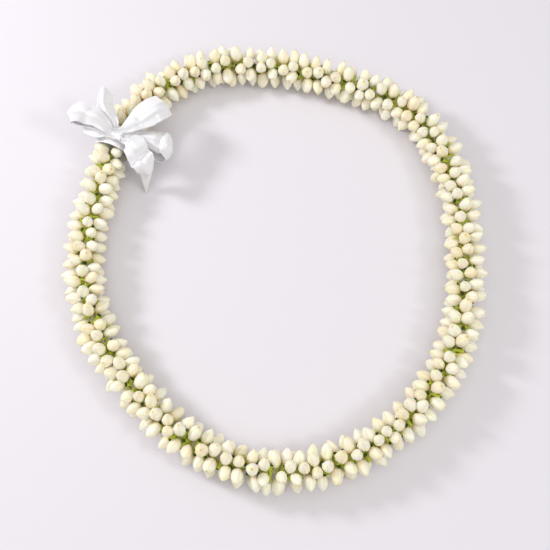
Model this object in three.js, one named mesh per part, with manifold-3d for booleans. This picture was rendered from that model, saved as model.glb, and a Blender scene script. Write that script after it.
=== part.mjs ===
// Fresh flower lei: a closed rope of jasmine buds threaded round a string, laid flat,
// with a satin ribbon bow tied over the place where the string's ends are knotted.
// Millimetres, +Z up. The origin is under the middle of the loop, on the resting surface.
import * as THREE from 'three';
import { mergeVertices } from 'three/addons/utils/BufferGeometryUtils.js';
import Module from 'manifold-3d';

const wasm = await Module();
wasm.setup();

// The loop as it lies: a rounded outline whose radius swells and dips a few millimetres.
const MEAN_RADIUS = 168.5;
const LOOP_MIDDLE = { x: 2.4, y: 4.7 };
const SWELLS = [
  { lobes: 2, rise: 11, bearing: -81 },
  { lobes: 3, rise: 3, bearing: 28 },
  { lobes: 4, rise: 3, bearing: 30 },
  { lobes: 5, rise: 3, bearing: -26 },
];
const BOW_BEARING = 146; // where the bow sits on the loop
const STRING_HEIGHT = 17.5; // string centre above the surface

// Rope of buds
const CLUSTERS = 48;
const BUDS_PER_CLUSTER = 12;
const BOW_GAP = 8; // length of bare string under the bow
const FIRST_TURN = -33; // degrees, where the first bud points
const TURN_PER_BUD = 65.5; // degrees round the string from one bud to the next
const TURN_SPREAD = 20;
const LEAN_SPREAD = 0.3; // how far a bud may lean along the string, as a slope
const ROOT_MARGIN = 1.5; // from a cluster's end to its first bud
const BUD_ROOT = 2; // from the string's centre to the bottom of a bud's tube
const BUD_REACH = 18.6; // from the string's centre to a bud's tip
const BUD_REACH_SPREAD = 0.9;
const BUD_RADIUS = 4.7;
const BUD_SIDES = 5;
const BUD_RADIUS_SPREAD = 0.3;
const BELLY = 11; // from the string's centre to a bud's widest place
const BUD_SPACING = 9.8; // buds push each other this far apart at their bellies
const NEIGHBOURS = 16; // buds further apart than this in threading order never touch
const SETTLING_PASSES = 40;
const FLOOR_CLEARANCE = 0.2;
const TUBES_RADIUS = 3.4; // the crowded green tubes round the string
const TUBES_SIDES = 6;
const STEPS_PER_CLUSTER = 2; // straight stretches of string and tubes in a cluster's length

const STRING_RADIUS = 0.8;
const STRING_SIDES = 6;
const BORE_RADIUS = 1.35;
const CLEARANCE = 0.3; // between touching pieces
const STRING_KNOT_RADIUS = 2;

// Ribbon
const RIBBON_THICKNESS = 0.6;
const WRAP_WIDTH = 14;
const WRAP_MIDDLE_HEIGHT = 19.5;
const NEAR_WRAP = 30; // buds further than this from the wrap's middle never reach it
const BUD_SHOULDER = 0.56; // a bud's half width where it passes the wrap, as a share of its radius
const WRAP_HALF_WIDTH = 16.5;
const WRAP_HALF_HEIGHT = 16.5;
const KNOT_RADIUS = 5.2;
const KNOT_HALF_HEIGHT = 3.3;
const KNOT_SIDES = 12;
const KNOT_HEIGHT = WRAP_MIDDLE_HEIGHT + WRAP_HALF_HEIGHT + CLEARANCE + KNOT_HALF_HEIGHT;
const KNOT_ALONG = -1.5; // the knot's middle from the wrap's, along the string
const KNOT_INWARD = 5; // and towards the middle of the loop

// Each stretch of ribbon goes from station to station. A station is
// [x, y, z, width, bearing, lean, ridge]: its place from the knot's middle, the ribbon's
// width there, the bearing of its left edge, how far that edge is raised, in degrees, and
// how high the middle stands above the edges.
const RIBBON_STRETCHES = [
  {
    name: 'bow_loop_upper_right',
    stations: [
      [5.2, 2, 2, 7, 112, 0, 0], [9, 5.2, 1.5, 11, 115, 0, 1], [15.4, 10.4, 2, 18, 117, -3, 3],
      [22.5, 16.4, 2, 24, 116, 0, 7], [28.6, 20.8, 2.5, 25, 117, -1, 8],
      [33.4, 24.6, 1, 25, 120, -3, 7], [37.2, 28.6, -2.5, 24, 123, -8, 4],
      [36, 28, -7, 22, 122, -10, 1], [26, 19, -5.5, 18, 116, -6, 0], [14, 8.7, -1.1, 11, 113, 0, 0],
      [5.2, 2, 0.7, 7, 112, 0, 0],
    ],
  },
  {
    name: 'bow_loop_right',
    stations: [
      [5.7, -0.6, -1.9, 7, 88, 0, 0], [12, 0, -4.4, 8.5, 90, 5, 0], [20, 0, -6, 11.5, 88, 6, 1],
      [27, -0.6, -7.5, 14.5, 86, 8, 1], [32, -1.6, -9.5, 17, 82, 10, 0],
      [35.3, -2.2, -11, 18.5, 79, 11, 0], [38.5, -3.8, -9, 18.5, 76, 12, 0],
      [40.5, -5.4, -12.5, 17.5, 70, 12, 0], [39.5, -7, -17.5, 17, 71, 6, 0],
      [33, -7.2, -19.5, 17, 76, 2, 0], [22, -4.4, -15, 14, 84, 0, 0], [12, -0.8, -8, 8.5, 86, 0, 0],
      [5.7, -0.6, -3.1, 7, 88, 0, 0],
    ],
  },
  {
    name: 'bow_loop_left_upper',
    stations: [
      [-5.4, 1.8, 2, 7, 247, 0, 0], [-9.5, 5, 5, 11.5, 248, 0, 1.5], [-16.2, 10.3, 8, 15, 250, -6, 3],
      [-23.3, 13.8, 7.5, 17, 252, -8, 3], [-29, 15.5, 10.5, 18, 254, -8, 2],
      [-34.2, 16.6, 8.5, 18.5, 255, -8, 1], [-35.2, 16.6, 5, 18, 255, -8, 1],
      [-29, 14, 4.5, 16.5, 253, -4, 1], [-17.5, 8.6, 4, 12.5, 250, 0, 0],
      [-5.4, 1.8, 0.9, 7, 247, 0, 0],
    ],
  },
  {
    name: 'bow_loop_left_lower',
    stations: [
      [-6.2, 0.4, -1.2, 7, 252, 0, 0], [-9.7, 2.5, -1.8, 11, 252, 0, 1],
      [-15, 5.6, -1.4, 17, 253, -4, 1.5], [-21, 9.4, -1.4, 19, 255, -6, 2],
      [-26, 13.2, -3.5, 18.5, 256, -6, 1], [-24.5, 12.5, -8, 17.5, 256, -6, 0],
      [-16.5, 8, -6.5, 14.5, 254, -4, 0], [-9.7, 2.6, -4, 9, 252, 0, 0],
      [-6.2, 0.4, -2.4, 7, 252, 0, 0],
    ],
  },
  {
    name: 'ribbon_tail_upper',
    stations: [
      [-2.4, 5.3, 0, 7, 207, 0, 0], [-4.5, 10.3, 0.6, 10.5, 205, 0, 1],
      [-8.3, 17.3, 0.8, 13, 200, 0, 3], [-11.6, 24.6, 2, 13.5, 190, 0, 5],
      [-11.9, 30.6, 2.5, 13.5, 183, 0, 5], [-12, 37, 0.5, 13.5, 182, 0, 5],
    ],
  },
  {
    name: 'ribbon_tail_lower',
    stations: [
      [4.8, -4.6, -0.5, 7, 40, 0, 0], [8.5, -5, -1.6, 10, 41, 0, 1], [12.9, -7.4, -1.6, 18, 41, 3, 3],
      [16.2, -12.6, -0.5, 20, 38, 3, 3], [17.8, -16.4, -4, 20.5, 43, -1, 1],
      [19.8, -19.4, -6.8, 21, 50, -1, 0], [22.7, -23.4, -3.6, 20.5, 49, 1, 0],
      [24.3, -25.4, -8, 19, 45, 0, 0], [23.5, -24.8, -17.5, 13.5, 42, 4, 0],
      [22.4, -27.8, -27.5, 9, 40, 6, 0], [20.5, -34.3, -38.3, 1.6, 34, 0, 0],
    ],
  },
];
const RIBBON_STEPS_PER_STATION = 2;

const BUD_CREAM = 0xf0ebcd;
const STRING_WHITE = 0xe4ddc8;
const SATIN_WHITE = 0xfbfbfe;

const UP = new THREE.Vector3(0, 0, 1);

class LoopOutline extends THREE.Curve {
  getPoint(t, target = new THREE.Vector3()) {
    const angle = THREE.MathUtils.degToRad(BOW_BEARING) + 2 * Math.PI * t;
    let radius = MEAN_RADIUS;
    for (const { lobes, rise, bearing } of SWELLS) {
      radius += rise * Math.cos(lobes * (angle - THREE.MathUtils.degToRad(bearing)));
    }
    const x = LOOP_MIDDLE.x + radius * Math.cos(angle);
    const y = LOOP_MIDDLE.y + radius * Math.sin(angle);
    return target.set(x, y, STRING_HEIGHT);
  }
}

const loop = new LoopOutline();
loop.arcLengthDivisions = 1440;
const LOOP_LENGTH = loop.getLength();
const CLUSTER_LENGTH = (LOOP_LENGTH - BOW_GAP) / CLUSTERS;

// A stretch of the loop between two lengths along it, for things that follow the string.
class StringStretch extends THREE.Curve {
  constructor(from, to) {
    super();
    this.from = from;
    this.to = to;
  }

  getPoint(t, target = new THREE.Vector3()) {
    const length = this.from + (this.to - this.from) * t;
    return target.copy(loop.getPointAt(length / LOOP_LENGTH));
  }
}

function material(color, roughness) {
  return new THREE.MeshStandardMaterial({ color, roughness, metalness: 0 });
}

function namedMesh(name, geometry, finish) {
  const mesh = new THREE.Mesh(geometry, finish);
  mesh.name = name;
  return mesh;
}

function regularPolygon(PathClass, radius, sides) {
  const corners = [];
  for (let side = 0; side < sides; side += 1) {
    const angle = (2 * Math.PI * side) / sides;
    corners.push(new THREE.Vector2(radius * Math.cos(angle), radius * Math.sin(angle)));
  }
  return new PathClass(corners);
}

function toSolid(geometry) {
  const bare = geometry.clone();
  bare.deleteAttribute('normal');
  bare.deleteAttribute('uv');
  const merged = mergeVertices(bare, 1e-4);
  return new wasm.Manifold(new wasm.Mesh({
    numProp: 3,
    vertProperties: new Float32Array(merged.attributes.position.array),
    triVerts: new Uint32Array(merged.index.array),
  }));
}

function fromSolid(solid) {
  const { vertProperties, triVerts } = solid.getMesh();
  const geometry = new THREE.BufferGeometry();
  geometry.setAttribute('position', new THREE.BufferAttribute(vertProperties, 3));
  geometry.setIndex(new THREE.BufferAttribute(triVerts, 1));
  geometry.computeVertexNormals();
  return geometry;
}

// A repeatable number between -1 and 1 for each bud and purpose.
function unevenness(index, purpose) {
  const wave = Math.sin(index * 12.9898 + purpose * 78.233) * 43758.5453;
  return 2 * (wave - Math.floor(wave)) - 1;
}

// The needle goes through one tube after another, each turned a little further round.
function threadBud(index) {
  const cluster = Math.floor(index / BUDS_PER_CLUSTER);
  const share = ((index % BUDS_PER_CLUSTER) + 0.5) / BUDS_PER_CLUSTER;
  const threaded = ROOT_MARGIN + share * (CLUSTER_LENGTH - 2 * ROOT_MARGIN);
  const length = BOW_GAP / 2 + cluster * CLUSTER_LENGTH + threaded;
  const turn = FIRST_TURN + TURN_PER_BUD * index + TURN_SPREAD * unevenness(index, 1);
  const root = loop.getPointAt(length / LOOP_LENGTH);
  const along = loop.getTangentAt(length / LOOP_LENGTH);
  const outward = along.clone().cross(UP).normalize();
  const angle = THREE.MathUtils.degToRad(turn);
  const direction = UP.clone().multiplyScalar(Math.cos(angle));
  direction.addScaledVector(outward, Math.sin(angle));
  direction.addScaledVector(along, LEAN_SPREAD * unevenness(index, 2)).normalize();
  return {
    cluster,
    root,
    direction,
    reach: BUD_REACH + BUD_REACH_SPREAD * unevenness(index, 3),
    radius: BUD_RADIUS + BUD_RADIUS_SPREAD * unevenness(index, 4),
  };
}

// Where two bellies are too close, both buds turn away from each other about their roots.
function pushApart(one, other) {
  const bellyOne = one.root.clone().addScaledVector(one.direction, BELLY);
  const bellyOther = other.root.clone().addScaledVector(other.direction, BELLY);
  const away = bellyOther.sub(bellyOne);
  const distance = away.length();
  if (distance >= BUD_SPACING) {
    return;
  }
  const push = (BUD_SPACING - distance) / (2 * distance * BELLY);
  one.direction.addScaledVector(away, -push).normalize();
  other.direction.addScaledVector(away, push).normalize();
}

// A bud that would reach through the resting surface leans over until its tip lies on it.
function restOnSurface(bud) {
  const lowest = (FLOOR_CLEARANCE - STRING_HEIGHT) / bud.reach;
  if (bud.direction.z >= lowest) {
    return;
  }
  const level = Math.hypot(bud.direction.x, bud.direction.y);
  const stretch = Math.sqrt(1 - lowest * lowest) / level;
  bud.direction.set(bud.direction.x * stretch, bud.direction.y * stretch, lowest);
}

// Buds beside the ribbon's turn round the rope lie against it, not through it.
function makeRoomForWrap(bud) {
  const along = loop.getTangent(0);
  const passing = bud.root.clone().addScaledVector(bud.direction, WRAP_HALF_WIDTH);
  passing.sub(loop.getPoint(0));
  const room = WRAP_WIDTH / 2 + CLEARANCE + BUD_SHOULDER * bud.radius;
  const distance = passing.dot(along);
  if (passing.length() > NEAR_WRAP || Math.abs(distance) >= room) {
    return;
  }
  const push = (Math.sign(distance) * room - distance) / WRAP_HALF_WIDTH;
  bud.direction.addScaledVector(along, push).normalize();
}

function arrangeBuds() {
  const buds = [];
  for (let index = 0; index < CLUSTERS * BUDS_PER_CLUSTER; index += 1) {
    buds.push(threadBud(index));
  }
  for (let pass = 0; pass < SETTLING_PASSES; pass += 1) {
    for (let index = 0; index < buds.length; index += 1) {
      const last = Math.min(buds.length - 1, index + NEIGHBOURS);
      for (let near = index + 1; near <= last; near += 1) {
        pushApart(buds[index], buds[near]);
      }
    }
    buds.forEach(makeRoomForWrap);
    buds.forEach(restOnSurface);
  }
  return buds;
}

function budSolid(bud) {
  const geometry = new THREE.SphereGeometry(1, BUD_SIDES, 2);
  geometry.scale(bud.radius, (bud.reach - BUD_ROOT) / 2, bud.radius);
  geometry.translate(0, (bud.reach + BUD_ROOT) / 2, 0);
  const lie = new THREE.Quaternion().setFromUnitVectors(new THREE.Vector3(0, 1, 0), bud.direction);
  geometry.applyQuaternion(lie);
  geometry.translate(bud.root.x, bud.root.y, bud.root.z);
  return toSolid(geometry);
}

// The green tubes of a cluster crowd into one sleeve, with a bore for the string.
function tubesSolid(cluster) {
  const from = BOW_GAP / 2 + cluster * CLUSTER_LENGTH + CLEARANCE / 2;
  const to = from + CLUSTER_LENGTH - CLEARANCE;
  const section = regularPolygon(THREE.Shape, TUBES_RADIUS, TUBES_SIDES);
  section.holes.push(regularPolygon(THREE.Path, BORE_RADIUS, TUBES_SIDES));
  return toSolid(new THREE.ExtrudeGeometry(section, {
    steps: STEPS_PER_CLUSTER,
    extrudePath: new StringStretch(from, to),
  }));
}

// A dozen buds with their tubes.
function budCluster(cluster, buds) {
  let solid = tubesSolid(cluster);
  for (const bud of buds) {
    solid = solid.add(budSolid(bud));
  }
  const name = `bud_cluster_${String(cluster + 1).padStart(2, '0')}`;
  return namedMesh(name, fromSolid(solid), material(BUD_CREAM, 0.6));
}

function coreString() {
  const start = STRING_KNOT_RADIUS + CLEARANCE;
  const geometry = new THREE.ExtrudeGeometry(regularPolygon(THREE.Shape, STRING_RADIUS, STRING_SIDES), {
    steps: CLUSTERS * STEPS_PER_CLUSTER,
    extrudePath: new StringStretch(start, LOOP_LENGTH - start),
  });
  return namedMesh('core_string', geometry, material(STRING_WHITE, 0.8));
}

function stringKnot() {
  const geometry = new THREE.SphereGeometry(STRING_KNOT_RADIUS, 10, 6);
  const mesh = namedMesh('string_knot', geometry, material(STRING_WHITE, 0.8));
  mesh.position.copy(loop.getPoint(0));
  return mesh;
}

// The ribbon's turn round the rope, in the gap between the first and last clusters.
function ribbonWrap() {
  const outline = new THREE.Shape();
  outline.absellipse(0, 0, WRAP_HALF_WIDTH, WRAP_HALF_HEIGHT, 0, 2 * Math.PI);
  const inside = new THREE.Path();
  inside.absellipse(
    0, 0, WRAP_HALF_WIDTH - RIBBON_THICKNESS, WRAP_HALF_HEIGHT - RIBBON_THICKNESS, 0, 2 * Math.PI,
  );
  outline.holes.push(inside);
  const geometry = new THREE.ExtrudeGeometry(outline, {
    depth: WRAP_WIDTH,
    bevelEnabled: false,
    curveSegments: 14,
  });
  geometry.translate(0, 0, -WRAP_WIDTH / 2);
  const mesh = namedMesh('ribbon_wrap', geometry, material(SATIN_WHITE, 0.35));
  const along = loop.getTangent(0);
  const across = UP.clone().cross(along);
  mesh.quaternion.setFromRotationMatrix(new THREE.Matrix4().makeBasis(across, UP, along));
  mesh.position.copy(loop.getPoint(0)).setZ(WRAP_MIDDLE_HEIGHT);
  return mesh;
}

function knotMiddle() {
  const along = loop.getTangent(0);
  const inward = UP.clone().cross(along);
  const middle = loop.getPoint(0).addScaledVector(along, KNOT_ALONG);
  return middle.addScaledVector(inward, KNOT_INWARD).setZ(KNOT_HEIGHT);
}

function ribbonKnot() {
  const profile = [
    [0, -1], [0.75, -1], [1, -0.7], [1, 0.7], [0.75, 1], [0, 1],
  ].map(([out, up]) => new THREE.Vector2(out * KNOT_RADIUS, up * KNOT_HALF_HEIGHT));
  const geometry = new THREE.LatheGeometry(profile, KNOT_SIDES);
  geometry.rotateX(Math.PI / 2);
  const mesh = namedMesh('ribbon_knot', geometry, material(SATIN_WHITE, 0.35));
  mesh.position.copy(knotMiddle());
  return mesh;
}

function curveThrough(points) {
  return new THREE.CatmullRomCurve3(points, false, 'catmullrom');
}

// A ribbon's middle line, its width with its ridge, and its bearing with its lean, as curves.
function ribbonCurves(stations) {
  return {
    middle: curveThrough(stations.map(([x, y, z]) => new THREE.Vector3(x, y, z))),
    spread: curveThrough(stations.map(([, , , width, , , ridge]) => new THREE.Vector3(width, ridge, 0))),
    turning: curveThrough(stations.map(([, , , , bearing, lean]) => new THREE.Vector3(bearing, lean, 0))),
  };
}

// The six corners of a ribbon's section at a share of its way: three on its upper face, from
// the left edge over the ridge to the right edge, and three back along its lower face.
function ribbonCorners({ middle, spread, turning }, share) {
  const centre = middle.getPoint(share);
  const tangent = middle.getTangent(share);
  const { x: width, y: ridge } = spread.getPoint(share);
  const { x: bearing, y: lean } = turning.getPoint(share);
  const heading = THREE.MathUtils.degToRad(bearing);
  const tilt = THREE.MathUtils.degToRad(lean);
  const side = new THREE.Vector3(Math.cos(heading), Math.sin(heading), 0);
  side.multiplyScalar(Math.cos(tilt)).setZ(Math.sin(tilt));
  side.addScaledVector(tangent, -side.dot(tangent)).normalize();
  const face = new THREE.Vector3().crossVectors(tangent, side);
  return [[1, 1], [0, 1], [-1, 1], [-1, -1], [0, -1], [1, -1]].map(([across, through]) => {
    const raised = across === 0 ? ridge : 0;
    const corner = centre.clone().addScaledVector(side, (across * width) / 2);
    return corner.addScaledVector(face, raised + (through * RIBBON_THICKNESS) / 2);
  });
}

// Triangles that join section after section, with the first and last sections closed.
function ribbonTriangles(steps) {
  const indices = [];
  for (let step = 0; step < steps; step += 1) {
    for (let corner = 0; corner < 6; corner += 1) {
      const a = 6 * step + corner;
      const b = 6 * step + ((corner + 1) % 6);
      indices.push(a, b, b + 6, a, b + 6, a + 6);
    }
  }
  const end = 6 * steps;
  for (const [p, q, r] of [[0, 5, 4], [0, 4, 1], [1, 4, 3], [1, 3, 2]]) {
    indices.push(p, q, r, end + p, end + r, end + q);
  }
  return indices;
}

// One stretch of ribbon as a thin solid strip through its stations.
function ribbonStretch({ name, stations }) {
  const curves = ribbonCurves(stations);
  const steps = (stations.length - 1) * RIBBON_STEPS_PER_STATION;
  const positions = [];
  for (let step = 0; step <= steps; step += 1) {
    for (const { x, y, z } of ribbonCorners(curves, step / steps)) {
      positions.push(x, y, z);
    }
  }
  const geometry = new THREE.BufferGeometry();
  geometry.setAttribute('position', new THREE.Float32BufferAttribute(positions, 3));
  geometry.setIndex(ribbonTriangles(steps));
  geometry.computeVertexNormals();
  const mesh = namedMesh(name, geometry, material(SATIN_WHITE, 0.35));
  mesh.position.copy(knotMiddle());
  return mesh;
}

const lei = new THREE.Group();
const buds = arrangeBuds();
for (let cluster = 0; cluster < CLUSTERS; cluster += 1) {
  lei.add(budCluster(cluster, buds.filter((bud) => bud.cluster === cluster)));
}
lei.add(coreString(), stringKnot(), ribbonWrap(), ribbonKnot());
for (const stretch of RIBBON_STRETCHES) {
  lei.add(ribbonStretch(stretch));
}

export default lei;
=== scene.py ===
import bisect
import math

import bpy
from mathutils import Matrix, Quaternion, Vector


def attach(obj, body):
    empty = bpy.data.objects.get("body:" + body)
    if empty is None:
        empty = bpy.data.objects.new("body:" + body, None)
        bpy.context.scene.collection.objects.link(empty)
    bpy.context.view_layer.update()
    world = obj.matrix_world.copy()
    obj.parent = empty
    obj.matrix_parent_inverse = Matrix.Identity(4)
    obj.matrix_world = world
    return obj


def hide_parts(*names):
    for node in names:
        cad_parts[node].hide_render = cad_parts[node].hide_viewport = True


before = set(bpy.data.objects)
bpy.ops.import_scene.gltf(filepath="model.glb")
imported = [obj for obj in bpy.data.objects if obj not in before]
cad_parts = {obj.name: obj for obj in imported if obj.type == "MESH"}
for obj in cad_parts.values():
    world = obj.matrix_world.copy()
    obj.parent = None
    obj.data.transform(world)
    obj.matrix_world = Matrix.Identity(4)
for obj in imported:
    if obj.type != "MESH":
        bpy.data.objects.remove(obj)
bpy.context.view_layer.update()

MM = 0.001
UP = Vector((0, 0, 1))

# ---- Camera ----
# Looks down on the flat lei from its near side, twenty degrees off the vertical.
CAMERA_DISTANCE = 730 * MM
CAMERA_ELEVATION = math.radians(70)
CAMERA_AIM = Vector((1.0, -18.5, 15.0)) * MM
CAMERA_LENS = 58.3
camera_offset = Vector((0, -math.cos(CAMERA_ELEVATION), math.sin(CAMERA_ELEVATION))) * CAMERA_DISTANCE
bpy.ops.object.camera_add(
    location=CAMERA_AIM + camera_offset,
    rotation=(math.pi / 2 - CAMERA_ELEVATION, 0, 0),
)
camera = bpy.context.object
camera.data.lens = CAMERA_LENS
bpy.context.scene.camera = camera
bpy.context.scene.view_settings.view_transform = "Standard"


# ---- String ----
# One waxed cotton thread runs all the way round inside the buds and is knotted under the bow.
# Its CAD solids stay and get the thread's twist and colour, darker between the plies as painted shade.
# painted shade in the grooves between the plies, then the thread's own colour on the plies
THREAD_GROOVE_SHADE_AND_COLOR = ((0.52, 0.47, 0.34, 1), (0.80, 0.76, 0.62, 1))  # between the plies, on them


def new_material(name):
    """A node material, its tree and its shader."""
    material = bpy.data.materials.new(name)
    material.use_nodes = True
    shader = material.node_tree.nodes["Principled BSDF"]
    return material, material.node_tree, shader


def add_node(tree, kind, **settings):
    """A node whose settings are inputs, by their names, or properties of the node itself."""
    node = tree.nodes.new(kind)
    for key, value in settings.items():
        if key in node.inputs:
            node.inputs[key].default_value = value
        else:
            setattr(node, key, value)
    return node


def shade_stops(ramp, shades):
    """Gives the two ends of a new colour ramp their shades."""
    for stop, color in zip(ramp.color_ramp.elements, shades):
        stop.color = color


thread_finish, tree, shader = new_material("waxed_cotton_thread")
place = add_node(tree, "ShaderNodeTexCoord")
twist = add_node(tree, "ShaderNodeTexWave", Scale=900.0, Distortion=2.0, bands_direction="DIAGONAL")
shade = add_node(tree, "ShaderNodeValToRGB")
shade_stops(shade, THREAD_GROOVE_SHADE_AND_COLOR)
ply = add_node(tree, "ShaderNodeBump", Strength=0.5, Distance=0.0002)
tree.links.new(place.outputs["Object"], twist.inputs["Vector"])
tree.links.new(twist.outputs["Fac"], shade.inputs["Fac"])
tree.links.new(shade.outputs["Color"], shader.inputs["Base Color"])
tree.links.new(twist.outputs["Fac"], ply.inputs["Height"])
tree.links.new(ply.outputs["Normal"], shader.inputs["Normal"])
shader.inputs["Roughness"].default_value = 0.8
for node_name in ("core_string", "string_knot"):
    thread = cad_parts[node_name]
    thread.data.materials.clear()
    thread.data.materials.append(thread_finish)


# ---- Line of the string ----
# The loop lies as a rounded outline whose radius swells and dips a few millimetres, and it
# starts and ends under the bow. Lengths along it place every bud and the ribbon.
MEAN_RADIUS = 168.5
LOOP_MIDDLE = (2.4, 4.7)
SWELLS = ((2, 11, -81), (3, 3, 28), (4, 3, 30), (5, 3, -26))  # lobes, rise, bearing of the rise
BOW_BEARING = 146
STRING_HEIGHT = 17.5
LOOP_STEPS = 1440


def loop_point(turn):
    """The string's middle at a share of the way round, from the bow, in millimetres."""
    angle = math.radians(BOW_BEARING) + 2 * math.pi * turn
    radius = MEAN_RADIUS
    for lobes, rise, bearing in SWELLS:
        radius += rise * math.cos(lobes * (angle - math.radians(bearing)))
    x = LOOP_MIDDLE[0] + radius * math.cos(angle)
    y = LOOP_MIDDLE[1] + radius * math.sin(angle)
    return Vector((x, y, STRING_HEIGHT))


loop_points = [loop_point(step / LOOP_STEPS) for step in range(LOOP_STEPS + 1)]
loop_lengths = [0.0]
for before, after in zip(loop_points, loop_points[1:]):
    loop_lengths.append(loop_lengths[-1] + (after - before).length)
LOOP_LENGTH = loop_lengths[-1]


def string_at(length):
    """The string's middle and direction at a length along it from the bow."""
    step = min(max(bisect.bisect(loop_lengths, length) - 1, 0), LOOP_STEPS - 1)
    before, after = loop_points[step], loop_points[step + 1]
    share = (length - loop_lengths[step]) / (loop_lengths[step + 1] - loop_lengths[step])
    return before.lerp(after, share), (after - before).normalized()


# ---- Places of the buds ----
# The needle goes through one tube after another, each turned a little further round. The
# buds then push each other apart, and those underneath lean over to lie on the surface.
CLUSTERS = 48
BUDS_PER_CLUSTER = 12
BOW_GAP = 8  # free string under the bow
FIRST_TURN = -33
TURN_PER_BUD = 65.5
TURN_SPREAD = 20
LEAN_SPREAD = 0.3
ROOT_MARGIN = 1.5  # free string at each end of a cluster
BUD_REACH, BUD_REACH_SPREAD = 18.6, 0.9
BUD_RADIUS, BUD_RADIUS_SPREAD = 4.7, 0.3
BELLY = 11  # the widest part of a bud, from the string
BUD_SPACING = 9.8  # the least distance between two bellies
NEIGHBOURS = 16  # buds further along the string than this many never meet
SETTLING_PASSES = 40
FLOOR_CLEARANCE = 0.2
WRAP_WIDTH = 14
WRAP_HALF_WIDTH = 16.5
NEAR_WRAP = 30  # buds further than this from the wrap's middle never reach it
CLEARANCE = 0.3
BUD_SHOULDER = 0.56  # a bud's half width where it passes the wrap, as a share of its radius
CLUSTER_LENGTH = (LOOP_LENGTH - BOW_GAP) / CLUSTERS


def unevenness(index, purpose):
    """A fixed value from -1 to 1 that looks random from one index or purpose to the next."""
    wave = math.sin(index * 12.9898 + purpose * 78.233) * 43758.5453
    return 2 * (wave - math.floor(wave)) - 1


buds = []
for index in range(CLUSTERS * BUDS_PER_CLUSTER):
    share = (index % BUDS_PER_CLUSTER + 0.5) / BUDS_PER_CLUSTER
    threaded = ROOT_MARGIN + share * (CLUSTER_LENGTH - 2 * ROOT_MARGIN)
    root, along = string_at(BOW_GAP / 2 + (index // BUDS_PER_CLUSTER) * CLUSTER_LENGTH + threaded)
    angle = math.radians(FIRST_TURN + TURN_PER_BUD * index + TURN_SPREAD * unevenness(index, 1))
    outward = along.cross(UP).normalized()
    direction = UP * math.cos(angle) + outward * math.sin(angle)
    direction = (direction + along * LEAN_SPREAD * unevenness(index, 2)).normalized()
    buds.append({
        "root": root,
        "direction": direction,
        "reach": BUD_REACH + BUD_REACH_SPREAD * unevenness(index, 3),
        "radius": BUD_RADIUS + BUD_RADIUS_SPREAD * unevenness(index, 4),
    })


def push_apart(one, other):
    """Turns two buds away from each other where their bellies are too close."""
    away = other["root"] + other["direction"] * BELLY - one["root"] - one["direction"] * BELLY
    distance = away.length
    if distance < BUD_SPACING:
        push = away * ((BUD_SPACING - distance) / (2 * distance * BELLY))
        one["direction"] = (one["direction"] - push).normalized()
        other["direction"] = (other["direction"] + push).normalized()


bow_middle, bow_along = string_at(0)


def make_room_for_wrap(bud):
    """Leans a bud away along the string where it would stand in the ribbon's turn."""
    passing = bud["root"] + bud["direction"] * WRAP_HALF_WIDTH - bow_middle
    room = WRAP_WIDTH / 2 + CLEARANCE + BUD_SHOULDER * bud["radius"]
    distance = passing.dot(bow_along)
    if passing.length <= NEAR_WRAP and abs(distance) < room:
        push = (math.copysign(room, distance) - distance) / WRAP_HALF_WIDTH
        bud["direction"] = (bud["direction"] + bow_along * push).normalized()


def rest_on_surface(bud):
    """Lifts a bud that points too far down until its tip lies on the surface."""
    lowest = (FLOOR_CLEARANCE - STRING_HEIGHT) / bud["reach"]
    x, y, z = bud["direction"]
    if z < lowest:
        stretch = math.sqrt(1 - lowest * lowest) / math.hypot(x, y)
        bud["direction"] = Vector((x * stretch, y * stretch, lowest))


for _ in range(SETTLING_PASSES):
    for index, bud in enumerate(buds):
        for other in buds[index + 1:index + NEIGHBOURS + 1]:
            push_apart(bud, other)
    for bud in buds:
        make_room_for_wrap(bud)
    for bud in buds:
        rest_on_surface(bud)


# ---- Jasmine buds ----
# Each bud is a closed flower of three petals wrapped over each other, on a thin green tube.
# The needle pierces the tube, so the bud points outwards and the cut end sticks out behind.
BUD_SIDES = 9
PETALS = 3
PETAL_STEP = 0.05  # how far a petal's edge stands proud of the one it wraps, as a share
PETALS_START = 0.05  # where the petals part, as a share of the way from neck to tip
PETAL_TWIST = 60  # degrees that a petal's edge winds round the bud from neck to tip
PETAL_CREASE = math.radians(75)  # flatter folds than this are shaded smooth
TIP = 18.6
NECK = 3.2  # where the tube starts to swell into the bud
TUBE_RADIUS = 1.25
CUT_END_RADIUS = 1.65
CUT_END_DEPTH = 1.2
CUT_END_SHRINK = 0.55  # the tube's hollow narrows to this share of the cut end
ON_AXIS = 0.05
BUD_SHAPES = (  # cut end, sideways bend at the tip, then height and radius of each ring
    (-7.4, 0.0, ((4.4, 2.7), (7.2, 4.45), (10.6, 4.9), (14.4, 3.85), (17.0, 1.8))),
    (-6.2, 1.3, ((4.2, 2.4), (7.4, 4.1), (11.0, 4.65), (14.4, 3.55), (16.9, 1.5))),
    (-8.6, -0.8, ((4.6, 3.0), (7.4, 4.75), (11.0, 5.05), (14.8, 4.3), (17.5, 2.4))),
    (-6.8, 2.0, ((4.4, 2.5), (7.0, 4.2), (10.2, 4.8), (14.0, 4.0), (17.0, 1.9))),
    (-9.4, 0.6, ((4.2, 2.5), (7.0, 4.5), (10.2, 4.9), (13.8, 3.85), (16.6, 1.6))),
)


def deselect_all():
    if bpy.context.object and bpy.context.object.mode != "OBJECT":
        bpy.ops.object.mode_set(mode="OBJECT")
    bpy.ops.object.select_all(action="DESELECT")


def add_ring(rise, swell, height):
    """Extrudes the selected ring up by a rise to a height and scales it there."""
    bpy.ops.mesh.extrude_region_move(TRANSFORM_OT_translate={"value": (0, 0, rise * MM)})
    bpy.ops.transform.resize(value=(swell, swell, 1), center_override=(0, 0, height * MM))


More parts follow.
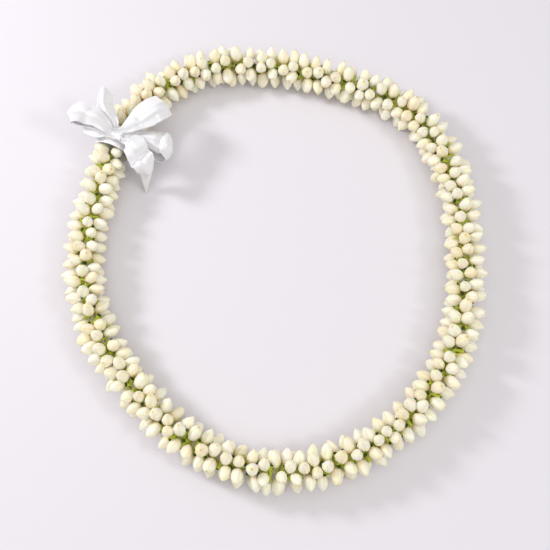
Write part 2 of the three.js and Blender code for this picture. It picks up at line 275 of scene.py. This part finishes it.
def model_bud(name, cut_end, bend, rings):
    """One bud, from its tube's cut end over neck and belly to a closed tip."""
    deselect_all()
    bpy.ops.mesh.primitive_circle_add(
        vertices=BUD_SIDES,
        radius=CUT_END_RADIUS * MM,
        fill_type="NOTHING",
        location=(0, 0, cut_end * MM),
    )
    bud = bpy.context.object
    bud.name = name
    bpy.ops.object.transform_apply(location=True)
    bpy.ops.object.mode_set(mode="EDIT")
    bpy.ops.mesh.select_all(action="SELECT")
    height, radius = cut_end, CUT_END_RADIUS
    for next_height, next_radius in ((NECK, TUBE_RADIUS),) + rings:
        add_ring(next_height - height, next_radius / radius, next_height)
        height, radius = next_height, next_radius
    bpy.ops.mesh.extrude_region_move(TRANSFORM_OT_translate={"value": (0, 0, (TIP - height) * MM)})
    bpy.ops.mesh.merge(type="CENTER")
    hollow_cut_end(bud, cut_end)
    map_petals(bud, cut_end)
    wrap_petals(bud, bend)
    bpy.ops.object.shade_smooth_by_angle(angle=PETAL_CREASE)
    return bud


def hollow_cut_end(bud, cut_end):
    """Closes the open end of the tube with a shallow hollow."""
    bpy.ops.object.mode_set(mode="OBJECT")
    for vertex in bud.data.vertices:
        vertex.select = vertex.co.z < (cut_end + CUT_END_DEPTH / 2) * MM
    bpy.ops.object.mode_set(mode="EDIT")
    add_ring(CUT_END_DEPTH, CUT_END_SHRINK, cut_end + CUT_END_DEPTH)
    bpy.ops.mesh.edge_face_add()
    bpy.ops.mesh.select_all(action="SELECT")
    bpy.ops.mesh.normals_make_consistent(inside=False)
    bpy.ops.object.mode_set(mode="OBJECT")


def map_petals(bud, cut_end):
    """U goes once round the bud and V from the neck, 0, to the tip, 1; the tube is below 0."""
    mesh = bud.data
    uv_map = mesh.uv_layers.new(name="petal_map")
    for face in mesh.polygons:
        middle = math.atan2(face.center.y, face.center.x)
        in_end = len(face.vertices) > 4 or face.center.z < (cut_end + 0.75 * CUT_END_DEPTH) * MM
        face.material_index = 2 if in_end else int(face.center.z < NECK * MM)
        for corner in face.loop_indices:
            place = mesh.vertices[mesh.loops[corner].vertex_index].co
            on_axis = math.hypot(place.x, place.y) < ON_AXIS * MM
            angle = middle if on_axis else math.atan2(place.y, place.x)
            nearest = middle + (angle - middle + math.pi) % (2 * math.pi) - math.pi
            uv_map.data[corner].uv = (nearest / (2 * math.pi), (place.z / MM - NECK) / (TIP - NECK))


def wrap_petals(bud, bend):
    """Steps the sides out and in, petal over petal, winds them round and bends the tip."""
    for vertex in bud.data.vertices:
        height = vertex.co.z / MM
        along = (height - NECK) / (TIP - NECK)
        if along > PETALS_START:
            side = round(math.atan2(vertex.co.y, vertex.co.x) / (2 * math.pi) * BUD_SIDES)
            proud = 1 + PETAL_STEP * (1 - side % PETALS)
            wound = Matrix.Rotation(math.radians(PETAL_TWIST) * along, 2)
            vertex.co.xy = wound @ (vertex.co.xy * proud)
        if height > 0:
            vertex.co.x += bend * MM * (height / TIP) ** 2


EDGE_WIND = 0.35  # how far an edge's line winds round from neck to tip, in petals
EDGE_SHARE = 0.10  # the line's width as a share of a petal's
petal_finish, tree, shader = new_material("jasmine_petal")
petal_map = add_node(tree, "ShaderNodeUVMap", uv_map="petal_map")
tone = add_node(tree, "ShaderNodeAttribute", attribute_name="bud_tone")
place = add_node(tree, "ShaderNodeTexCoord")
halves = add_node(tree, "ShaderNodeSeparateXYZ")
tree.links.new(petal_map.outputs["UV"], halves.inputs["Vector"])
# from the tube, green and tan, through cream to the small brown point; the tan by the neck is partly
# the bud's own colour and partly painted warm shade between the crowded buds
length_ramp = add_node(tree, "ShaderNodeValToRGB")
shade_stops(length_ramp, ((0.50, 0.54, 0.10, 1), (0.55, 0.44, 0.20, 1)))
for position, color in (
    (0.09, (0.80, 0.68, 0.36, 1)),
    (0.22, (0.93, 0.84, 0.62, 1)),
    (0.42, (0.95, 0.90, 0.75, 1)),
    (0.85, (0.96, 0.915, 0.79, 1)),
    (0.955, (0.94, 0.88, 0.68, 1)),
):
    length_ramp.color_ramp.elements.new(position).color = color
tree.links.new(halves.outputs["Y"], length_ramp.inputs["Fac"])
# patches of yellow green on some petals
patches = add_node(tree, "ShaderNodeTexNoise", Scale=160.0, Detail=2.0)
patch_ramp = add_node(tree, "ShaderNodeValToRGB")
patch_ramp.color_ramp.elements[0].position = 0.50
patch_ramp.color_ramp.elements[1].position = 0.78
greened = add_node(tree, "ShaderNodeMix", data_type="RGBA", blend_type="MULTIPLY")
greened.inputs["B"].default_value = (0.97, 0.98, 0.80, 1)
tree.links.new(place.outputs["Object"], patches.inputs["Vector"])
tree.links.new(patches.outputs["Fac"], patch_ramp.inputs["Fac"])
tree.links.new(patch_ramp.outputs["Color"], greened.inputs["Factor"])
tree.links.new(length_ramp.outputs["Color"], greened.inputs["A"])
# each bud a little whiter or a little more tan
toned = add_node(tree, "ShaderNodeMix", data_type="RGBA", blend_type="MULTIPLY")
toned.inputs["B"].default_value = (1.0, 0.93, 0.83, 1)
tree.links.new(tone.outputs["Fac"], toned.inputs["Factor"])
tree.links.new(greened.outputs["Result"], toned.inputs["A"])
# painted shade: a thin darker line under each petal's edge, which winds round the bud
wind = add_node(tree, "ShaderNodeMath", operation="MULTIPLY_ADD")
wind.inputs[1].default_value = PETALS
lift = add_node(tree, "ShaderNodeMath", operation="MULTIPLY")
lift.inputs[1].default_value = EDGE_WIND
edge = add_node(tree, "ShaderNodeMath", operation="FRACT")
edge_ramp = add_node(tree, "ShaderNodeValToRGB")
shade_stops(edge_ramp, ((0, 0, 0, 1), (1, 1, 1, 1)))
edge_ramp.color_ramp.elements[1].position = EDGE_SHARE
tree.links.new(halves.outputs["X"], wind.inputs[0])
tree.links.new(halves.outputs["Y"], lift.inputs[0])
tree.links.new(lift.outputs["Value"], wind.inputs[2])
tree.links.new(wind.outputs["Value"], edge.inputs[0])
tree.links.new(edge.outputs["Value"], edge_ramp.inputs["Fac"])
painted_edge_shade = add_node(tree, "ShaderNodeMix", data_type="RGBA", blend_type="MIX")
painted_edge_shade.inputs["A"].default_value = (0.86, 0.85, 0.68, 1)
painted_edge_shade.inputs["B"].default_value = (1, 1, 1, 1)
shaded_under_edges = add_node(tree, "ShaderNodeMix", data_type="RGBA", blend_type="MULTIPLY")
shaded_under_edges.inputs["Factor"].default_value = 1.0
tree.links.new(edge_ramp.outputs["Color"], painted_edge_shade.inputs["Factor"])
tree.links.new(toned.outputs["Result"], shaded_under_edges.inputs["A"])
tree.links.new(painted_edge_shade.outputs["Result"], shaded_under_edges.inputs["B"])
tree.links.new(shaded_under_edges.outputs["Result"], shader.inputs["Base Color"])
# the edges stand up a little, and fine veins run lengthwise
edge_bump = add_node(tree, "ShaderNodeBump", Strength=0.6, Distance=0.0003)
veins = add_node(tree, "ShaderNodeTexNoise", Scale=1.0, Detail=3.0)
stretch = add_node(tree, "ShaderNodeMapping", Scale=(40.0, 5.0, 1.0))
vein_bump = add_node(tree, "ShaderNodeBump", Strength=0.15, Distance=0.0003)
tree.links.new(petal_map.outputs["UV"], stretch.inputs["Vector"])
tree.links.new(stretch.outputs["Vector"], veins.inputs["Vector"])
tree.links.new(veins.outputs["Fac"], vein_bump.inputs["Height"])
tree.links.new(edge_ramp.outputs["Color"], edge_bump.inputs["Height"])
tree.links.new(vein_bump.outputs["Normal"], edge_bump.inputs["Normal"])
tree.links.new(edge_bump.outputs["Normal"], shader.inputs["Normal"])
shader.inputs["Roughness"].default_value = 0.42
shader.inputs["Subsurface Weight"].default_value = 0.7
shader.inputs["Subsurface Radius"].default_value = (1.0, 0.75, 0.4)
shader.inputs["Subsurface Scale"].default_value = 0.004

tube_finish, tree, shader = new_material("jasmine_tube")
petal_map = add_node(tree, "ShaderNodeUVMap", uv_map="petal_map")
place = add_node(tree, "ShaderNodeTexCoord")
halves = add_node(tree, "ShaderNodeSeparateXYZ")
green = add_node(tree, "ShaderNodeValToRGB")
shade_stops(green, ((0.55, 0.70, 0.05, 1), (0.66, 0.70, 0.16, 1)))
along_tube = add_node(tree, "ShaderNodeMapRange")
along_tube.inputs["From Min"].default_value = -0.8
along_tube.inputs["From Max"].default_value = 0.0
mottle = add_node(tree, "ShaderNodeTexNoise", Scale=500.0, Detail=2.0)
mottled = add_node(tree, "ShaderNodeMix", data_type="RGBA", blend_type="MULTIPLY")
mottled.inputs["B"].default_value = (0.86, 0.84, 0.6, 1)
tree.links.new(petal_map.outputs["UV"], halves.inputs["Vector"])
tree.links.new(halves.outputs["Y"], along_tube.inputs["Value"])
tree.links.new(along_tube.outputs["Result"], green.inputs["Fac"])
tree.links.new(place.outputs["Object"], mottle.inputs["Vector"])
tree.links.new(mottle.outputs["Fac"], mottled.inputs["Factor"])
tree.links.new(green.outputs["Color"], mottled.inputs["A"])
tree.links.new(mottled.outputs["Result"], shader.inputs["Base Color"])
shader.inputs["Roughness"].default_value = 0.5
shader.inputs["Subsurface Weight"].default_value = 0.1
shader.inputs["Subsurface Scale"].default_value = 0.001

# the cut end's shallow hollow is coloured near black, painted shade inside the tube
tube_end_shade, tree, shader = new_material("cut_tube_end_painted_shade")
place = add_node(tree, "ShaderNodeTexCoord")
grain = add_node(tree, "ShaderNodeTexNoise", Scale=900.0)
dark = add_node(tree, "ShaderNodeValToRGB")
shade_stops(dark, ((0.03, 0.045, 0.005, 1), (0.10, 0.14, 0.02, 1)))
tree.links.new(place.outputs["Object"], grain.inputs["Vector"])
tree.links.new(grain.outputs["Fac"], dark.inputs["Fac"])
tree.links.new(dark.outputs["Color"], shader.inputs["Base Color"])
shader.inputs["Roughness"].default_value = 0.9

bud_models = []
for number, (cut_end, bend, rings) in enumerate(BUD_SHAPES):
    bud_model = model_bud(f"bud_model_{number}", cut_end, bend, rings)
    for finish in (petal_finish, tube_finish, tube_end_shade):
        bud_model.data.materials.append(finish)
    bud_models.append(bud_model)

for cluster in range(CLUSTERS):
    deselect_all()
    first = cluster * BUDS_PER_CLUSTER
    for index in range(first, first + BUDS_PER_CLUSTER):
        bud = buds[index]
        model = bud_models[int(len(bud_models) / 2 * (1 + unevenness(index, 5)))]
        turned = bud["direction"].to_track_quat("Z", "Y")
        spun = Quaternion((0, 0, 1), math.pi * unevenness(index, 6))
        girth = bud["radius"] / BUD_RADIUS
        size = Matrix.Diagonal((girth, girth, bud["reach"] / BUD_REACH, 1))
        lie = Matrix.Translation(bud["root"] * MM) @ (turned @ spun).to_matrix().to_4x4() @ size
        copy = model.copy()
        copy.data = model.data.copy()
        copy.data.transform(lie)
        shade = copy.data.attributes.new("bud_tone", "FLOAT", "POINT")
        value = max(0.0, unevenness(index, 7))
        shade.data.foreach_set("value", [value] * len(copy.data.vertices))
        bpy.context.scene.collection.objects.link(copy)
        copy.select_set(True)
        bpy.context.view_layer.objects.active = copy
    bpy.ops.object.join()
    threaded_buds = bpy.context.object
    threaded_buds.name = f"jasmine_buds_{cluster + 1:02d}"
    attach(threaded_buds, "root")
    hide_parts(f"bud_cluster_{cluster + 1:02d}")
for bud_model in bud_models:
    bpy.data.objects.remove(bud_model)

# ---- Satin ribbon ----
# A white satin ribbon. It turns once round the rope, and the bow's loops and tails are
# gathered at the knot, where the cloth falls into lengthwise folds. All its pieces share
# one width, thickness and finish.
RIBBON_WIDTH = 28
RIBBON_THICKNESS = 0.25
ROWS_ACROSS = 28
RIBBON_CREASE = math.radians(50)  # sharper folds than this keep an edge
WRAP_MIDDLE_HEIGHT = 19.5
WRAP_HALF_HEIGHT = 16.5
KNOT_HALF_HEIGHT = 3.3
KNOT_HEIGHT = WRAP_MIDDLE_HEIGHT + WRAP_HALF_HEIGHT + CLEARANCE + KNOT_HALF_HEIGHT
KNOT_ALONG = -1.5
KNOT_INWARD = 5
bow_inward = UP.cross(bow_along).normalized()
knot_middle = bow_middle + bow_along * KNOT_ALONG + bow_inward * KNOT_INWARD
knot_middle.z = KNOT_HEIGHT

satin_finish, tree, shader = new_material("white_satin")
place = add_node(tree, "ShaderNodeTexCoord")
crinkle = add_node(tree, "ShaderNodeTexNoise", Scale=120.0, Detail=3.0)
crinkle_bump = add_node(tree, "ShaderNodeBump", Strength=0.25, Distance=0.0006)
yarns = add_node(tree, "ShaderNodeTexWave", Scale=1.0, bands_direction="Y")
yarn_scale = add_node(tree, "ShaderNodeMapping", Scale=(300.0, 60.0, 1.0))
yarn_bump = add_node(tree, "ShaderNodeBump", Strength=0.06, Distance=0.0001)
# the satin's white, a little greyer in the crinkles' dips, where it is painted shade
satin_white_and_crinkle_shade = add_node(tree, "ShaderNodeValToRGB")
shade_stops(satin_white_and_crinkle_shade, ((0.87, 0.87, 0.895, 1), (0.92, 0.92, 0.935, 1)))
tree.links.new(place.outputs["Object"], crinkle.inputs["Vector"])
tree.links.new(crinkle.outputs["Fac"], crinkle_bump.inputs["Height"])
tree.links.new(crinkle.outputs["Fac"], satin_white_and_crinkle_shade.inputs["Fac"])
tree.links.new(satin_white_and_crinkle_shade.outputs["Color"], shader.inputs["Base Color"])
tree.links.new(place.outputs["UV"], yarn_scale.inputs["Vector"])
tree.links.new(yarn_scale.outputs["Vector"], yarns.inputs["Vector"])
tree.links.new(yarns.outputs["Fac"], yarn_bump.inputs["Height"])
tree.links.new(yarn_bump.outputs["Normal"], crinkle_bump.inputs["Normal"])
tree.links.new(crinkle_bump.outputs["Normal"], shader.inputs["Normal"])
shader.inputs["Roughness"].default_value = 0.15
shader.inputs["Specular IOR Level"].default_value = 0.8
shader.inputs["Sheen Weight"].default_value = 0.6
shader.inputs["Sheen Roughness"].default_value = 0.5


def smooth_through(points, share):
    """The value at a share of the way along a smooth curve through equally spaced points."""
    last = len(points) - 1
    step = min(int(share * last), last - 1)
    t = share * last - step
    one, two = points[step], points[step + 1]
    zero = tuple(2 * a - b for a, b in zip(one, two))
    if step > 0:
        zero = points[step - 1]
    three = tuple(2 * b - a for a, b in zip(one, two))
    if step + 2 <= last:
        three = points[step + 2]
    value = []
    for p0, p1, p2, p3 in zip(zero, one, two, three):
        bent = 2 * p0 - 5 * p1 + 4 * p2 - p3 + (3 * p1 - p0 - 3 * p2 + p3) * t
        value.append(p1 + 0.5 * t * (p2 - p0 + t * bent))
    return value


def lay_ribbon(name, route, section, steps):
    """Bends a flat cut of ribbon: route(share) -> centre, side, face and section settings."""
    deselect_all()
    bpy.ops.mesh.primitive_grid_add(x_subdivisions=steps, y_subdivisions=ROWS_ACROSS, size=1)
    ribbon = bpy.context.object
    ribbon.name = name
    for vertex in ribbon.data.vertices:
        share, across = vertex.co.x + 0.5, vertex.co.y
        centre, side, face, settings = route(share)
        sideways, raised = section(share, across, *settings)
        vertex.co = (centre + side * sideways + face * raised) * MM
    thicken = ribbon.modifiers.new("thickness", "SOLIDIFY")
    thicken.thickness = RIBBON_THICKNESS * MM
    thicken.offset = 0
    bpy.ops.object.modifier_apply(modifier=thicken.name)
    bpy.ops.object.shade_smooth_by_angle(angle=RIBBON_CREASE)
    ribbon.data.materials.append(satin_finish)
    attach(ribbon, "root")
    return ribbon


def route_length(route, steps=60):
    """The length of a ribbon's middle line in millimetres."""
    places = [route(step / steps)[0] for step in range(steps + 1)]
    return sum((b - a).length for a, b in zip(places, places[1:]))


def declare_cut(route):
    """Measures the length of a route; nothing is done with the length."""
    length = route_length(route)


# ---- Ribbon's turn round the rope ----
# The ribbon goes round the rope in a gap between the buds, with its edges tucked under to
# half its width, and its two ends meet under the knot.
TUCK_RADIUS = 0.5
TUCK_GAP = 0.45
TUCK_SLOPE_LENGTH = 3  # the tucked edges sink to their own layers over this width
RIPPLE_HEIGHT = 0.12
RIPPLES = 2.1  # radians of ripple to a millimetre across
RIPPLE_DRIFT = 3
WRAP_CROWN = 0.8


def tucked_section(share, across, width, crown_height):
    """A flat band with both edges folded under it, one below the other."""
    from_middle = abs(across) * RIBBON_WIDTH
    flat = width / 2 - TUCK_RADIUS
    hand = math.copysign(1, across)
    if from_middle <= flat:
        crown = crown_height * (math.cos(math.pi * from_middle / (2 * flat)) - 1)
        ripple = RIPPLE_HEIGHT * math.cos(across * RIBBON_WIDTH * RIPPLES + RIPPLE_DRIFT * share)
        return hand * from_middle, crown + ripple
    turned = (from_middle - flat) / TUCK_RADIUS
    if turned <= math.pi:
        drop = TUCK_RADIUS * (math.cos(turned) - 1) - crown_height
        return hand * (flat + TUCK_RADIUS * math.sin(turned)), drop
    under = from_middle - flat - math.pi * TUCK_RADIUS
    layer = 2 if across > 0 else 1
    lower = TUCK_GAP * min(under / TUCK_SLOPE_LENGTH, 1) * layer
    return hand * (flat - under), -2 * TUCK_RADIUS - lower - crown_height


def wrap_route(share):
    angle = math.pi / 2 + 2 * math.pi * share
    middle = Vector((bow_middle.x, bow_middle.y, WRAP_MIDDLE_HEIGHT))
    sideways, upwards = bow_inward * math.cos(angle), UP * math.sin(angle)
    outward = sideways * WRAP_HALF_WIDTH + upwards * WRAP_HALF_HEIGHT
    face = sideways / WRAP_HALF_WIDTH + upwards / WRAP_HALF_HEIGHT
    return middle + outward, bow_along, face.normalized(), (WRAP_WIDTH, WRAP_CROWN)


wrap = lay_ribbon("satin_wrap", wrap_route, tucked_section, 64)
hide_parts("ribbon_wrap")
declare_cut(wrap_route)

# ---- Bow knot ----
# The ribbon passes over the middle of the bow and tucks under it, pulled into a short band.
KNOT_HALF_DEPTH = 5.0
KNOT_BAND_HALF_HEIGHT = 2.3
KNOT_BAND = 9
KNOT_CROWN = 0.4
KNOT_TURN = math.radians(-20)
knot_across = Vector((math.cos(KNOT_TURN), math.sin(KNOT_TURN), 0))
knot_ahead = UP.cross(knot_across)


def knot_route(share):
    angle = -math.pi / 2 + 2 * math.pi * share
    ahead, upwards = knot_ahead * math.cos(angle), UP * math.sin(angle)
    outward = ahead * KNOT_HALF_DEPTH + upwards * KNOT_BAND_HALF_HEIGHT
    face = ahead / KNOT_HALF_DEPTH + upwards / KNOT_BAND_HALF_HEIGHT
    return knot_middle + outward, -knot_across, face.normalized(), (KNOT_BAND, KNOT_CROWN)


knot = lay_ribbon("satin_knot", knot_route, tucked_section, 40)
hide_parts("ribbon_knot")
declare_cut(knot_route)

# ---- Bow loops ----
# Four loops of the same ribbon, two to each side, each with one long pleat, whose place is
# its share of the width from the middle. A station is its place from the knot in x, y and z,
# the ribbon's width there, the bearing of its left edge, how far that edge is raised, and
# how high the middle stands above the edges.
GATHERS = 2
GATHERED = 0.74  # the least arc of cloth across a section, as a share of the ribbon's width
GATHERS_REACH = 30  # the gathers open into one soft arch this far from the knot
FOLD_SHARPNESS = 0.94  # 1 gives sharp folds, less rounds them
ARCH = 0.45
ARCH_LIMIT = 0.8
RIDGE_ROUNDING = 0.004  # 0 gives a ridge with a sharp crest
PLEAT_HEIGHT = 1.4
PLEAT_HALF_WIDTH = 2.4
CREASES = 9
CREASE_HEIGHT = 1.1
CREASE_SPREAD = 0.36  # how far from a stretch's middle the creases lie, as a share of it
CREASE_OFFSET = 0.4
CREASE_SLANT = 1.2
CREASE_HALF_LENGTH = 14
CREASE_HALF_WIDTH = 4
INSIDE_KNOT = 0.35
INSIDE_KNOT_RISE = 0.5
KNOT_REACH = 8  # a last station nearer than this ends inside the knot too
SHORT_STEP = 0.005


def fold_wave(across, folds):
    """A soft zigzag across the ribbon, from -1 to 1."""
    wave = FOLD_SHARPNESS * math.cos(2 * math.pi * folds * across)
    return math.asin(wave) / math.asin(FOLD_SHARPNESS)


def inside_knot(station):
    x, y, z, *shape = station
    return (x * INSIDE_KNOT, y * INSIDE_KNOT, z * INSIDE_KNOT_RISE, *shape)


def stretch_route(stations):
    """A stretch that leaves the knot at its first station, and starts a little inside it."""
    path = (inside_knot(stations[0]),) + stations
    if math.hypot(*stations[-1][:2]) < KNOT_REACH:
        path += (inside_knot(stations[-1]),)

    def route(share):
        x, y, z, width, bearing, lean, ridge = smooth_through(path, share)
        ahead = smooth_through(path, min(share + SHORT_STEP, 1.0))
        behind = smooth_through(path, max(share - SHORT_STEP, 0.0))
        tangent = (Vector(ahead[:3]) - Vector(behind[:3])).normalized()
        bearing, lean = math.radians(bearing), math.radians(lean)
        level = math.cos(lean)
        side = Vector((level * math.cos(bearing), level * math.sin(bearing), math.sin(lean)))
        side = (side - tangent * side.dot(tangent)).normalized()
        face = tangent.cross(side)
        return knot_middle + Vector((x, y, z)), side, face, (width, ridge)

    return route


def crumpled_section(seed, length, ends_at_knot, pleat):
    """Gathered by the knot, one soft arch with a pleat further out, and a few sharp creases."""
    creases = []
    for number in range(CREASES):
        value = [unevenness(seed * CREASES + number, purpose) for purpose in range(10, 14)]
        creases.append((
            0.5 + CREASE_SPREAD * value[0],
            CREASE_OFFSET * value[1],
            CREASE_SLANT * value[2],
            CREASE_HEIGHT * value[3],
        ))

    def section(share, across, width, ridge):
        from_knot = length * (min(share, 1 - share) if ends_at_knot else share)
        gathered = max(0, 1 - from_knot / GATHERS_REACH)
        spare = math.sqrt(max((GATHERED * RIBBON_WIDTH) ** 2 - width ** 2 - 4 * ridge ** 2, 0))
        raised = gathered * spare / (4 * GATHERS) * fold_wave(across, GATHERS)
        arch = ARCH * min(spare, ARCH_LIMIT * width)
        raised += (1 - gathered) * arch * math.cos(math.pi * across)
        raised += ridge * (1 + RIDGE_ROUNDING - math.sqrt(4 * across ** 2 + RIDGE_ROUNDING))
        from_pleat = abs(across - pleat) * width
        raised += (1 - gathered) * PLEAT_HEIGHT * max(0, 1 - from_pleat / PLEAT_HALF_WIDTH)
        for middle, off, slant, height in creases:
            lengthwise = (share - middle) * length
            distance = abs(math.cos(slant) * lengthwise + math.sin(slant) * (across - off) * width)
            fade = max(0, 1 - abs(lengthwise) / CREASE_HALF_LENGTH)
            raised += height * fade * max(0, 1 - distance / CREASE_HALF_WIDTH)
        return across * width, raised

    return section


BOW_LOOPS = (
    ("upper_right", -0.2, (
        (5.2, 2, 2, 7, 112, 0, 0), (9, 5.2, 1.5, 11, 115, 0, 1), (15.4, 10.4, 2, 18, 117, -3, 3),
        (22.5, 16.4, 2, 24, 116, 0, 7), (28.6, 20.8, 2.5, 25, 117, -1, 8),
        (33.4, 24.6, 1, 25, 120, -3, 7), (37.2, 28.6, -2.5, 24, 123, -8, 4),
        (36, 28, -7, 22, 122, -10, 1), (26, 19, -5.5, 18, 116, -6, 0), (14, 8.7, -1.1, 11, 113, 0, 0),
        (5.2, 2, 0.7, 7, 112, 0, 0),
    )),
    ("right", -0.33, (
        (5.7, -0.6, -1.9, 7, 88, 0, 0), (12, 0, -4.4, 8.5, 90, 5, 0), (20, 0, -6, 11.5, 88, 6, 1),
        (27, -0.6, -7.5, 14.5, 86, 8, 1), (32, -1.6, -9.5, 17, 82, 10, 0),
        (35.3, -2.2, -11, 18.5, 79, 11, 0), (38.5, -3.8, -9, 18.5, 76, 12, 0),
        (40.5, -5.4, -12.5, 17.5, 70, 12, 0), (39.5, -7, -17.5, 17, 71, 6, 0),
        (33, -7.2, -19.5, 17, 76, 2, 0), (22, -4.4, -15, 14, 84, 0, 0), (12, -0.8, -8, 8.5, 86, 0, 0),
        (5.7, -0.6, -3.1, 7, 88, 0, 0),
    )),
    ("left_upper", 0.12, (
        (-5.4, 1.8, 2, 7, 247, 0, 0), (-9.5, 5, 5, 11.5, 248, 0, 1.5), (-16.2, 10.3, 8, 15, 250, -6, 3),
        (-23.3, 13.8, 7.5, 17, 252, -8, 3), (-29, 15.5, 10.5, 18, 254, -8, 2),
        (-34.2, 16.6, 8.5, 18.5, 255, -8, 1), (-35.2, 16.6, 5, 18, 255, -8, 1),
        (-29, 14, 4.5, 16.5, 253, -4, 1), (-17.5, 8.6, 4, 12.5, 250, 0, 0),
        (-5.4, 1.8, 0.9, 7, 247, 0, 0),
    )),
    ("left_lower", -0.1, (
        (-6.2, 0.4, -1.2, 7, 252, 0, 0), (-9.7, 2.5, -1.8, 11, 252, 0, 1),
        (-15, 5.6, -1.4, 17, 253, -4, 1.5), (-21, 9.4, -1.4, 19, 255, -6, 2),
        (-26, 13.2, -3.5, 18.5, 256, -6, 1), (-24.5, 12.5, -8, 17.5, 256, -6, 0),
        (-16.5, 8, -6.5, 14.5, 254, -4, 0), (-9.7, 2.6, -4, 9, 252, 0, 0),
        (-6.2, 0.4, -2.4, 7, 252, 0, 0),
    )),
)
for number, (side_name, pleat, stations) in enumerate(BOW_LOOPS):
    route = stretch_route(stations)
    section = crumpled_section(number, route_length(route), True, pleat)
    loop = lay_ribbon(f"satin_loop_{side_name}", route, section, 72)
    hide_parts(f"bow_loop_{side_name}")
    declare_cut(route)

# ---- Ribbon tails ----
# The ribbon's two ends. One lies back towards the top of the lei, cut straight across; the
# other folds over the rope's inner side and hangs down to the surface, cut to a point.
RIBBON_TAILS = (
    ("upper", 0.2, (
        (-2.4, 5.3, 0, 7, 207, 0, 0), (-4.5, 10.3, 0.6, 10.5, 205, 0, 1),
        (-8.3, 17.3, 0.8, 13, 200, 0, 3), (-11.6, 24.6, 2, 13.5, 190, 0, 5),
        (-11.9, 30.6, 2.5, 13.5, 183, 0, 5), (-12, 37, 0.5, 13.5, 182, 0, 5),
    )),
    ("lower", -0.18, (
        (4.8, -4.6, -0.5, 7, 40, 0, 0), (8.5, -5, -1.6, 10, 41, 0, 1), (12.9, -7.4, -1.6, 18, 41, 3, 3),
        (16.2, -12.6, -0.5, 20, 38, 3, 3), (17.8, -16.4, -4, 20.5, 43, -1, 1),
        (19.8, -19.4, -6.8, 21, 50, -1, 0), (22.7, -23.4, -3.6, 20.5, 49, 1, 0),
        (24.3, -25.4, -8, 19, 45, 0, 0), (23.5, -24.8, -17.5, 13.5, 42, 4, 0),
        (22.4, -27.8, -27.5, 9, 40, 6, 0), (20.5, -34.3, -38.3, 1.6, 34, 0, 0),
    )),
)
for number, (end_name, pleat, stations) in enumerate(RIBBON_TAILS, len(BOW_LOOPS)):
    route = stretch_route(stations)
    section = crumpled_section(number, route_length(route), False, pleat)
    tail = lay_ribbon(f"satin_tail_{end_name}", route, section, 56)
    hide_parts(f"ribbon_tail_{end_name}")
    declare_cut(route)

# ---- Floor and light ----
# A plain pale floor. A small light low at the left throws the soft shadows, another fills in
# from the lower right, a wide panel hangs overhead, and the surround is an even warm white.
deselect_all()
bpy.ops.mesh.primitive_plane_add(size=6)
floor = bpy.context.object
floor.name = "pale_floor"
floor_finish, tree, shader = new_material("pale_paper")
shader.inputs["Base Color"].default_value = (0.785, 0.764, 0.806, 1)
shader.inputs["Roughness"].default_value = 0.85
shader.inputs["Specular IOR Level"].default_value = 0.2
floor.data.materials.append(floor_finish)

SOFT_LIGHTS = (  # bearing, elevation, distance, size, power, colour
    (160, 34.3, 1.38, 0.29, 8.4, (1.0, 0.97, 1.02)),
    (-22, 46, 2.2, 0.4, 6.2, (1.0, 0.99, 0.97)),
    (-60, 75, 2.2, 2.8, 16.0, (1.0, 0.99, 0.98)),
)
for bearing, elevation, distance, size, power, color in SOFT_LIGHTS:
    level = math.cos(math.radians(elevation))
    toward_light = Vector((
        level * math.cos(math.radians(bearing)),
        level * math.sin(math.radians(bearing)),
        math.sin(math.radians(elevation)),
    ))
    bpy.ops.object.light_add(type="AREA", location=toward_light * distance)
    soft_light = bpy.context.object
    soft_light.rotation_euler = toward_light.to_track_quat("Z", "Y").to_euler()
    soft_light.data.shape = "DISK"
    soft_light.data.size = size
    soft_light.data.energy = power
    soft_light.data.color = color

world = bpy.data.worlds.new("white_surround")
bpy.context.scene.world = world
world.use_nodes = True
world.node_tree.nodes["Background"].inputs["Color"].default_value = (1.0, 0.985, 0.98, 1)
world.node_tree.nodes["Background"].inputs["Strength"].default_value = 0.53
